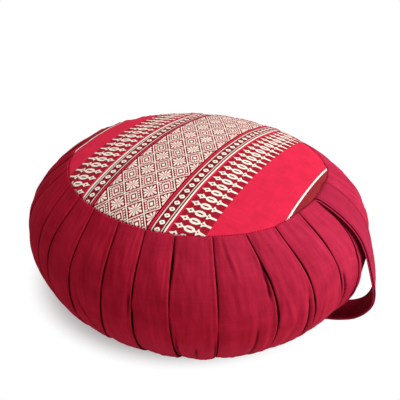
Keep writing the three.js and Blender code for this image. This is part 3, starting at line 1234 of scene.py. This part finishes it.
def plain_cotton(name, colour, worn_colour, shade_folds=False, lit_side_colours=None):
    """Plain-woven dyed cotton, with painted shade in its folds and painted light, if asked."""
    material, tree, shader = cotton_shader(name)
    place = cloth_place(tree)
    threads = placed_group(tree, weave, Cloth=place)
    rule = adder(tree)
    streaks = rule("MULTIPLY", noise_at(tree, place, STREAK_WAVES, 3), STREAK_SHARE)
    blotches = rule("ADD", threads.outputs["Tone"], streaks)
    contrast = 1 / (WORN_TO - WORN_FROM)
    worn = rule("MULTIPLY_ADD", blotches, contrast, -WORN_FROM * contrast, clamp=True)
    shade = mixed(tree, worn, colour, worn_colour)
    # Painted light: paler and pinker towards the window lamp and upwards.
    if lit_side_colours:
        shade = mixed(tree, graded(tree, LIT_SIDE_RISE, LIT_SIDE_START), shade, mixed(tree, worn, *lit_side_colours))
        # Painted bounce light: paler near the floor.
        floor_bounce = rule("MULTIPLY", graded(tree, FLOOR_BOUNCE_RISE, FLOOR_BOUNCE_START), FLOOR_BOUNCE_AT_MOST)
        shade = mixed(tree, floor_bounce, shade, FLOOR_BOUNCE_COLOUR)
    # Painted shade deep in the folds.
    if shade_folds:
        fold_shade_node = tree.nodes.new("ShaderNodeAttribute")
        fold_shade_node.attribute_name = "tuck"
        shade = mixed(tree, fold_shade_node.outputs["Fac"], shade, FOLD_SHADE_COLOUR)
    tree.links.new(shade, shader.inputs["Base Color"])
    bumped(tree, shader, threads.outputs["Height"], 0.35, 0.12 * MM)
    print("material", name)
    return material


# The second pair of wall colours is painted light, for the side towards the window lamp.
wall_cotton = plain_cotton(
    "wall cotton", dyed(156, 18, 38), dyed(196, 33, 60), shade_folds=True,
    lit_side_colours=(dyed(157, 31, 56), dyed(196, 47, 79)),
)
base_cotton = plain_cotton("base cotton", dyed(150, 20, 46), dyed(168, 27, 56))
strap_cotton = plain_cotton("strap cotton", dyed(154, 32, 58), dyed(180, 43, 74), shade_folds=True)

# %% [markdown]
# ## Sewing thread
#
# Thread is spun from strands twisted round each other. The stitches have no flat map, since
# each is a small bead, so slanting waves in the piece's own coordinates give the twist.

# %% Sewing thread
TWIST_SCALE = 1050
THREAD_WAVES = (400, 400, 400)


def twisted_thread(name, colour, worn_colour):
    """Sewing thread: strands twisted round each other, with a slightly uneven dye."""
    material, tree, shader = cotton_shader(name, roughness=0.7)
    place = object_place(tree)
    strands = tree.nodes.new("ShaderNodeTexWave")
    strands.bands_direction = "DIAGONAL"
    strands.inputs["Scale"].default_value = TWIST_SCALE
    strands.inputs["Distortion"].default_value = 0.6
    tree.links.new(place, strands.inputs["Vector"])
    dye = noise_at(tree, place, THREAD_WAVES, 2)
    tree.links.new(mixed(tree, dye, colour, worn_colour), shader.inputs["Base Color"])
    bumped(tree, shader, strands.outputs["Fac"], 0.5, 0.08 * MM)
    print("material", name)
    return material


sewing_thread = twisted_thread("sewing thread", dyed(120, 10, 30), dyed(150, 20, 45))

# %% [markdown]
# ## The patterned weave
#
# The top is a traditional supplementary weave: cream figures float over a dark red or
# bright red ground, between narrow warp stripes. Shapes laid on the cloth would look like
# patches, so the figures are rules on the cloth's own thread grid: a lattice of diamonds
# with flowers and eyes, a row of beads and a row of spears. All of them move in whole
# threads, which gives the stepped edges of weaving. Both halves mirror each other about a
# middle line, so one warping plan, counted outwards from that line, serves both. Sizes are
# in millimetres on the flat cloth.

# %% Thread grid group
PICK = 0.28
MIDDLE_LINE = -17.3
picks, takes, gives = new_group(
    "thread grid",
    [("Cloth", "NodeSocketVector", None)],
    ["Along", "Across", "From middle"],
)
work = adder(picks)
along, across = [
    work("ADD", work("SNAP", work("MULTIPLY", part, 1000), PICK), PICK / 2)
    for part in parts_of(picks, takes.outputs["Cloth"])[:2]
]
from_middle = work("ABSOLUTE", work("SUBTRACT", across, MIDDLE_LINE))
for label, value in (("Along", along), ("Across", across), ("From middle", from_middle)):
    picks.links.new(value, gives.inputs[label])
print("group", picks.name, "of", PICK, "mm threads")


# %% Small rules for the figures
def either(rule, *masks):
    """1 where any of the masks is 1."""
    total = masks[0]
    for mask in masks[1:]:
        total = rule("MAXIMUM", total, mask)
    return total


def between(rule, value, low, high):
    """1 where the value lies between low and high."""
    above = rule("GREATER_THAN", value, low)
    below = rule("LESS_THAN", value, high)
    return rule("MULTIPLY", above, below)


def from_nearest(rule, value, pitch, first):
    """Signed distance to the nearest figure of a row with this pitch."""
    return rule("WRAP", rule("SUBTRACT", value, first), pitch / 2, -pitch / 2)


def teeth(rule, out, inner, outer, beside):
    """1 on a row of teeth that stand between two distances out from the middle."""
    tooth = rule("LESS_THAN", rule("PINGPONG", beside, 1), 0.6)
    return rule("MULTIPLY", between(rule, out, inner, outer), tooth)


def lozenge(rule, along, across, half_along, half_across, fullness):
    """1 inside a lozenge; fullness 1 has straight sides and 2 is an oval."""
    sides = [
        rule("POWER", rule("DIVIDE", along, half_along), fullness),
        rule("POWER", rule("DIVIDE", across, half_across), fullness),
    ]
    return rule("LESS_THAN", rule("ADD", *sides), 1)


# %% Diamond lattice group
LATTICE_ALONG = 14.65
LATTICE_ACROSS = 10.9
LATTICE_START = -77.2
LATTICE_SLANT = 0.114
# Distances across a diamond run from 0 in its middle to 0.5 on its line. The cream line
# and the dark margin inside it start at these, on the steep and on the shallow lines.
STEEP_LINE = 0.466
STEEP_MARGIN = 0.375
SHALLOW_LINE = 0.460
SHALLOW_MARGIN = 0.365
SHALLOW_CREAM = 0.86
lattice_takes = [("Along", "NodeSocketFloat", 0), ("Across", "NodeSocketFloat", 0)]
lattice, takes, gives = new_group("diamond lattice", lattice_takes, ["Cream", "Dark"])
work = adder(lattice)
from_line = work("SUBTRACT", takes.outputs["Across"], MIDDLE_LINE)
slanted = work("MULTIPLY_ADD", from_line, LATTICE_SLANT, takes.outputs["Along"])
along = work("DIVIDE", work("SUBTRACT", slanted, LATTICE_START), LATTICE_ALONG)
across = work("DIVIDE", from_line, LATTICE_ACROSS)
first_way = work("MULTIPLY", work("ADD", along, across), 0.5)
second_way = work("MULTIPLY", work("SUBTRACT", along, across), 0.5)
first_cell, second_cell = [work("ROUND", way) for way in (first_way, second_way)]
first_off = work("SUBTRACT", first_way, first_cell)
second_off = work("SUBTRACT", second_way, second_cell)
first_size, second_size = [work("ABSOLUTE", off) for off in (first_off, second_off)]
is_flower = work("PINGPONG", work("SUBTRACT", first_cell, second_cell), 1)
is_eye = work("SUBTRACT", 1, is_flower)
steep_line = work("GREATER_THAN", first_size, STEEP_LINE)
shallow_line = work("MULTIPLY", work("GREATER_THAN", second_size, SHALLOW_LINE), SHALLOW_CREAM)
margin = either(
    work,
    between(work, first_size, STEEP_MARGIN, STEEP_LINE),
    between(work, second_size, SHALLOW_MARGIN, SHALLOW_LINE),
)

# %% Eye in every other diamond
# Distances from the middle are counted here so that 7.3 by 5.7 reach the lines. A dark ring
# lies between the dot and the frame, and the teeth stand between these pairs.
DIAMOND_WIDE = 14.6
DIAMOND_HIGH = 11.4
EYE_DOT = 1.35
EYE_RING = 2.45
EYE_FRAME = 3.45
FRAME_CREAM = 0.9
SIDE_TEETH = (4.3, 5.6)
END_TEETH = (3.75, 4.35)
wide = work("MULTIPLY", first_size, DIAMOND_WIDE)
high = work("MULTIPLY", second_size, DIAMOND_HIGH)
square = work("MAXIMUM", wide, high)
dark_ring = work("MULTIPLY", between(work, square, EYE_DOT, EYE_RING), is_eye)
eye = either(
    work,
    work("LESS_THAN", square, EYE_DOT),
    work("MULTIPLY", between(work, square, EYE_RING, EYE_FRAME), FRAME_CREAM),
    teeth(work, wide, *SIDE_TEETH, high),
    teeth(work, high, *END_TEETH, wide),
)
print("lattice and eye take", len(lattice.nodes), "nodes")

# %% Flower in the diamonds between
PETAL_WAVES = 5
PETAL_INNER = 0.54
PETAL_SWELL = 0.24
PETAL_PARTING = 0.58
HEART = 0.24
HEART_CREAM = 0.55
PARTING_CREAM = 0.15
petal_way = work("ARCTAN2", first_off, second_off)
petal_wave = work("ABSOLUTE", work("SINE", work("MULTIPLY", petal_way, PETAL_WAVES)))
reach = work("MULTIPLY", work("MAXIMUM", first_size, second_size), 2)
petals = work("LESS_THAN", reach, work("MULTIPLY_ADD", petal_wave, PETAL_SWELL, PETAL_INNER))
past_heart = work("GREATER_THAN", reach, HEART)
parting = work("MULTIPLY", work("LESS_THAN", petal_wave, PETAL_PARTING), past_heart)
petal_cream = work("MULTIPLY_ADD", work("LESS_THAN", reach, HEART), HEART_CREAM - 1, 1)
flower = work("MULTIPLY", petals, work("MULTIPLY_ADD", parting, PARTING_CREAM - 1, petal_cream))
figure = work("ADD", work("MULTIPLY", eye, is_eye), work("MULTIPLY", flower, is_flower))
lattice.links.new(either(work, figure, steep_line, shallow_line), gives.inputs["Cream"])
lattice.links.new(either(work, margin, dark_ring), gives.inputs["Dark"])
print("group", lattice.name, len(lattice.nodes), "nodes")

# %% Bead row group
BEAD_PITCH = 10
BEAD_START = -66
BEAD_LINE = 43.3
# Half the length, half the width and the fullness of a bead and of the eye in it.
BEAD_SHAPE = (3.1, 3.0, 1.5)
BEAD_EYE_SHAPE = (1.0, 1.1, 1.0)
row_takes = [("Along", "NodeSocketFloat", 0), ("From middle", "NodeSocketFloat", 0)]
beads, takes, gives = new_group("bead row", row_takes, ["Cream"])
work = adder(beads)
bead_along = work("ABSOLUTE", from_nearest(work, takes.outputs["Along"], BEAD_PITCH, BEAD_START))
bead_across = work("ABSOLUTE", work("SUBTRACT", takes.outputs["From middle"], BEAD_LINE))
bead = lozenge(work, bead_along, bead_across, *BEAD_SHAPE)
bead_eye = lozenge(work, bead_along, bead_across, *BEAD_EYE_SHAPE)
beads.links.new(work("SUBTRACT", bead, bead_eye), gives.inputs["Cream"])
print("group", beads.name, "every", BEAD_PITCH, "mm")

# %% Spear row group
SPEAR_PITCH = 11.4
SPEAR_FIRST = -76
# Where the spears' points lie, out from the middle line, and how long and wide they are.
SPEAR_START = 54.4
SPEAR_LENGTH = 34.0
SPEAR_WIDEST = 5.0
# How wide the spear is, from its point outwards: distance along it and half its width.
SPEAR_OUTLINE = [
    (0.0, 0.2), (1.0, 0.5), (3.0, 1.5), (4.6, 2.5), (5.5, 4.0), (6.3, 3.3), (8.6, 1.5),
    (9.8, 0.8), (10.6, 1.2), (11.8, 2.9), (13.6, 3.8), (16.0, 4.1), (18.4, 3.8),
    (20.6, 2.7), (21.8, 1.2), (22.6, 0.7), (23.4, 1.1), (23.9, 4.1), (25.0, 3.9),
    (26.2, 2.2), (27.6, 1.4), (33.6, 1.2), (33.9, 0.0),
]
# The slots of ground colour in it: distance along, and half their width.
SPEAR_SLOTS = [
    (0.0, 0.0), (4.4, 0.0), (4.8, 1.0), (6.4, 1.0), (6.8, 0.0), (12.6, 0.0), (13.2, 0.7),
    (14.4, 1.0), (17.6, 1.0), (18.8, 0.7), (19.2, 0.0), (24.2, 0.0), (24.4, 0.8),
    (25.6, 0.8), (25.8, 0.0), (34.0, 0.0),
]


def ramped(tree, place, length, interpolation, stops):
    """A colour read from stops of (place, colour) along a length."""
    ramp = tree.nodes.new("ShaderNodeValToRGB")
    ramp.color_ramp.interpolation = interpolation
    marks = ramp.color_ramp.elements
    while len(marks) < len(stops):
        marks.new(1)
    for mark, (stop, colour) in zip(marks, stops):
        mark.position = min(stop / length, 1)
        mark.color = colour
    tree.links.new(adder(tree)("DIVIDE", place, length), ramp.inputs[0])
    return ramp.outputs[0]


def half_width_at(tree, place, outline):
    """Half the width of a figure at a place along it, read from its outline."""
    stops = [(stop, (half / SPEAR_WIDEST,) * 3 + (1,)) for stop, half in outline]
    grey = ramped(tree, place, SPEAR_LENGTH, "LINEAR", stops)
    return adder(tree)("MULTIPLY", grey, SPEAR_WIDEST)


spears, takes, gives = new_group("spear row", row_takes, ["Cream"])
work = adder(spears)
beside = work("ABSOLUTE", from_nearest(work, takes.outputs["Along"], SPEAR_PITCH, SPEAR_FIRST))
spear_place = work("SUBTRACT", takes.outputs["From middle"], SPEAR_START)
solid = work("LESS_THAN", beside, half_width_at(spears, spear_place, SPEAR_OUTLINE))
slots = work("LESS_THAN", beside, half_width_at(spears, spear_place, SPEAR_SLOTS))
on_row = between(work, spear_place, 0, SPEAR_LENGTH)
spears.links.new(work("MULTIPLY", work("SUBTRACT", solid, slots), on_row), gives.inputs["Cream"])
print("group", spears.name, "every", SPEAR_PITCH, "mm")

# %% Warping plan
BRIGHT = dyed(225, 42, 74)
DARK = dyed(88, 6, 18)
MAROON = dyed(138, 22, 38)
RUST = dyed(168, 28, 48)
ROSE = dyed(184, 14, 44)
DARK_ROSE = dyed(144, 3, 28)
CREAM = dyed(255, 250, 236)
COOL_CREAM = dyed(249, 243, 226)
STONE = dyed(234, 212, 198)
BROWN = dyed(166, 46, 56)
DARK_BROWN = dyed(132, 36, 40)
# Where each warp stripe starts, counted out from the middle line in millimetres.
WARP_PLAN = [
    (0.0, ROSE), (32.6, DARK), (34.1, BRIGHT), (36.1, DARK), (37.1, STONE), (38.6, MAROON),
    (47.3, STONE), (48.7, DARK), (49.5, CREAM), (51.7, BRIGHT), (54.3, RUST), (87.9, BRIGHT),
]
PLAN_WIDTH = 160.0
LATTICE_EDGE = 32.7
FAR_SPEARS_SHIFT = 4.0
# The cream selvedge stripes, counted across the whole cloth. The near one runs at a slant.
NEAR_SELVEDGE = (123.9, 125.8)
FAR_SELVEDGE = (-136.6, -134.8)
SELVEDGE_SLANT = 0.035
print(len(WARP_PLAN), "warp stripes on each side")

# %% Patterned cloth: the figures
woven_panel, tree, shader = cotton_shader("patterned weave", 0.85, 0.03, dyed(255, 190, 200))
rule = adder(tree)
place = cloth_place(tree)
threads = placed_group(tree, weave, Cloth=place)
along, across, from_middle = placed_group(tree, picks, Cloth=place).outputs

diamonds = placed_group(tree, lattice, Along=along, Across=across)
in_lattice = rule("LESS_THAN", from_middle, LATTICE_EDGE)
bead_figures = placed_group(tree, beads, Along=along, From_middle=from_middle)
far_side = rule("LESS_THAN", across, MIDDLE_LINE)
spear_along = rule("MULTIPLY_ADD", far_side, FAR_SPEARS_SHIFT, along)
spear_figures = placed_group(tree, spears, Along=spear_along, From_middle=from_middle)
selvedge_place = rule("MULTIPLY_ADD", along, SELVEDGE_SLANT, across)
figures = either(
    rule,
    rule("MULTIPLY", diamonds.outputs["Cream"], in_lattice),
    bead_figures.outputs["Cream"],
    spear_figures.outputs["Cream"],
    between(rule, selvedge_place, *NEAR_SELVEDGE),
    between(rule, across, *FAR_SELVEDGE),
)
print("material", woven_panel.name)

# %% Patterned cloth: the ground and the finish
TWEED_WAVES = (420, 420, 1)
YARN_WAVES = (90, 1400, 1)
# The plain weave's tone darkens or brightens the colours by these.
TONE_LEAST = 0.57
TONE_SHARE = 0.8
FIGURES_RAISED = 0.8
beyond = either(
    rule,
    rule("GREATER_THAN", selvedge_place, NEAR_SELVEDGE[1]),
    rule("LESS_THAN", across, FAR_SELVEDGE[0]),
)
tweed = rule("MULTIPLY_ADD", noise_at(tree, place, TWEED_WAVES, 3), 3, -1, clamp=True)
ground = ramped(tree, from_middle, PLAN_WIDTH, "CONSTANT", WARP_PLAN)
ground = mixed(tree, beyond, ground, mixed(tree, tweed, BROWN, DARK_BROWN))
dark_lines = rule("MULTIPLY", diamonds.outputs["Dark"], in_lattice)
ground = mixed(tree, dark_lines, ground, DARK_ROSE)
cream_yarn = mixed(tree, noise_at(tree, place, YARN_WAVES, 2), CREAM, COOL_CREAM)
shade = mixed(tree, figures, ground, cream_yarn)
drift = rule("MULTIPLY_ADD", threads.outputs["Tone"], TONE_SHARE, TONE_LEAST)
toned = mixed(tree, 1, shade, drift, blend="MULTIPLY")
tree.links.new(toned, shader.inputs["Base Color"])
raised = rule("MULTIPLY_ADD", figures, FIGURES_RAISED, threads.outputs["Height"])
bumped(tree, shader, raised, 0.5, 0.15 * MM)

for piece, material in (
    (side_wall, wall_cotton),
    (top_panel, woven_panel),
    (base_panel, base_cotton),
    (strap, strap_cotton),
    (strap_stitches, sewing_thread),
    (seam_stitches, sewing_thread),
):
    piece.data.materials.append(material)
    print(piece.name, "is made of", material.name)

# %% [markdown]
# ## Floor, light and camera
#
# A pale floor that keeps the cushion's shadow, a large soft lamp on the strap's side and a
# soft ceiling lamp above. A brighter lamp would whiten the floor, but it would wash out the
# reds, so the white comes from a glow that only the camera and reflections see: full on the
# open floor, and weaker near the cushion, where the shadow lies. The camera looks down at
# about 30 degrees.

# %% Floor
FLOOR_DROP = 0.2 * MM
FLOOR_WHITE = dyed(238, 238, 238)
WHITE = (1, 1, 1, 1)
# The glow is weak up to 148 mm from this place, and full from 186 mm.
SHADOW_MIDDLE = (-0.026, 0.022, 0)
SHADOW_INNER = 0.148
SHADOW_OUTER = 0.186
GLOW_IN_SHADOW = 0.38

floor_cut = bmesh.new()
bmesh.ops.create_grid(floor_cut, x_segments=1, y_segments=1, size=6)
bmesh.ops.translate(floor_cut, verts=floor_cut.verts, vec=(0, 0, -FLOOR_DROP))
floor = made_piece("floor", floor_cut)


def seen_rays(tree):
    """1 for rays that come from the camera, from gloss or through glass."""
    rays = tree.nodes.new("ShaderNodeLightPath").outputs
    kinds = ("Camera", "Glossy", "Transmission")
    return either(adder(tree), *[rays[f"Is {kind} Ray"] for kind in kinds])


floor_paint = bpy.data.materials.new("pale floor")
floor_paint.use_nodes = True
tree = floor_paint.node_tree
tree.nodes.clear()
matt = tree.nodes.new("ShaderNodeBsdfDiffuse")
matt.inputs["Color"].default_value = FLOOR_WHITE
glow = tree.nodes.new("ShaderNodeEmission")
glow.inputs["Color"].default_value = WHITE
glow.inputs["Strength"].default_value = 1
from_cushion = tree.nodes.new("ShaderNodeVectorMath")
from_cushion.operation = "DISTANCE"
from_cushion.inputs[1].default_value = SHADOW_MIDDLE
tree.links.new(object_place(tree), from_cushion.inputs[0])
away = tree.nodes.new("ShaderNodeMapRange")
away.interpolation_type = "SMOOTHSTEP"
away.inputs["From Min"].default_value = SHADOW_INNER
away.inputs["From Max"].default_value = SHADOW_OUTER
away.inputs["To Min"].default_value = GLOW_IN_SHADOW
tree.links.new(from_cushion.outputs["Value"], away.inputs["Value"])
both = tree.nodes.new("ShaderNodeMixShader")
glow_share = adder(tree)("MULTIPLY", seen_rays(tree), away.outputs[0])
for source, socket in zip((glow_share, matt.outputs[0], glow.outputs[0]), both.inputs):
    tree.links.new(source, socket)
finished = tree.nodes.new("ShaderNodeOutputMaterial")
tree.links.new(both.outputs[0], finished.inputs[0])
floor.data.materials.append(floor_paint)

# %% World and lamps
WORLD_LIGHT = 0.30
WARM_ROOM = (1.0, 0.90, 0.91, 1)
LAMPS_AIM = Vector((0, 0, 0.08))
world = bpy.data.worlds.new("studio")
bpy.context.scene.world = world
world.use_nodes = True
tree = world.node_tree
background = tree.nodes["Background"]
seen = seen_rays(tree)
strength = adder(tree)("MULTIPLY_ADD", seen, 1 - WORLD_LIGHT, WORLD_LIGHT)
tree.links.new(mixed(tree, seen, WARM_ROOM, WHITE), background.inputs["Color"])
tree.links.new(strength, background.inputs["Strength"])


def lamp(name, place, size, power):
    """A square soft lamp that points at the cushion."""
    light = bpy.data.lights.new(name, "AREA")
    light.shape = "SQUARE"
    light.size = size
    light.energy = power
    holder = bpy.data.objects.new(name, light)
    bpy.context.scene.collection.objects.link(holder)
    holder.location = place
    holder.rotation_euler = (LAMPS_AIM - Vector(place)).to_track_quat("-Z", "Y").to_euler()
    print("lamp", name, power, "W")


lamp("window", (1.345, 0.25, 1.09), 1.3, 31)
lamp("ceiling", (-0.3, 0.3, 1.8), 1.2, 7.7)

# %% Camera
CAMERA_PLACE = (0.3005, -0.8017, 0.6026)
CAMERA_DOWN = 29.96
CAMERA_TURN = 20.5
camera_lens = bpy.data.cameras.new("camera")
camera_lens.lens = 81.7
camera_lens.sensor_width = 36
camera_lens.clip_start = 0.01
camera = bpy.data.objects.new("camera", camera_lens)
bpy.context.scene.collection.objects.link(camera)
camera.location = CAMERA_PLACE
camera.rotation_euler = (math.radians(90 - CAMERA_DOWN), 0, math.radians(CAMERA_TURN))
bpy.context.scene.camera = camera
bpy.context.scene.view_settings.view_transform = "Standard"
print("camera at", CAMERA_PLACE)

# %% [markdown]
# ## What each piece stands for
#
# Every piece rides on the one body, because cloth has no joints. The four cloths replace the
# four plain solids of the frame, which are hidden.

for piece in (side_wall, top_panel, base_panel, strap, strap_stitches, seam_stitches):
    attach(piece, "root")

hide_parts("cushion_body")
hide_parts("top_panel")
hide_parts("base_panel")
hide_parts("handle")
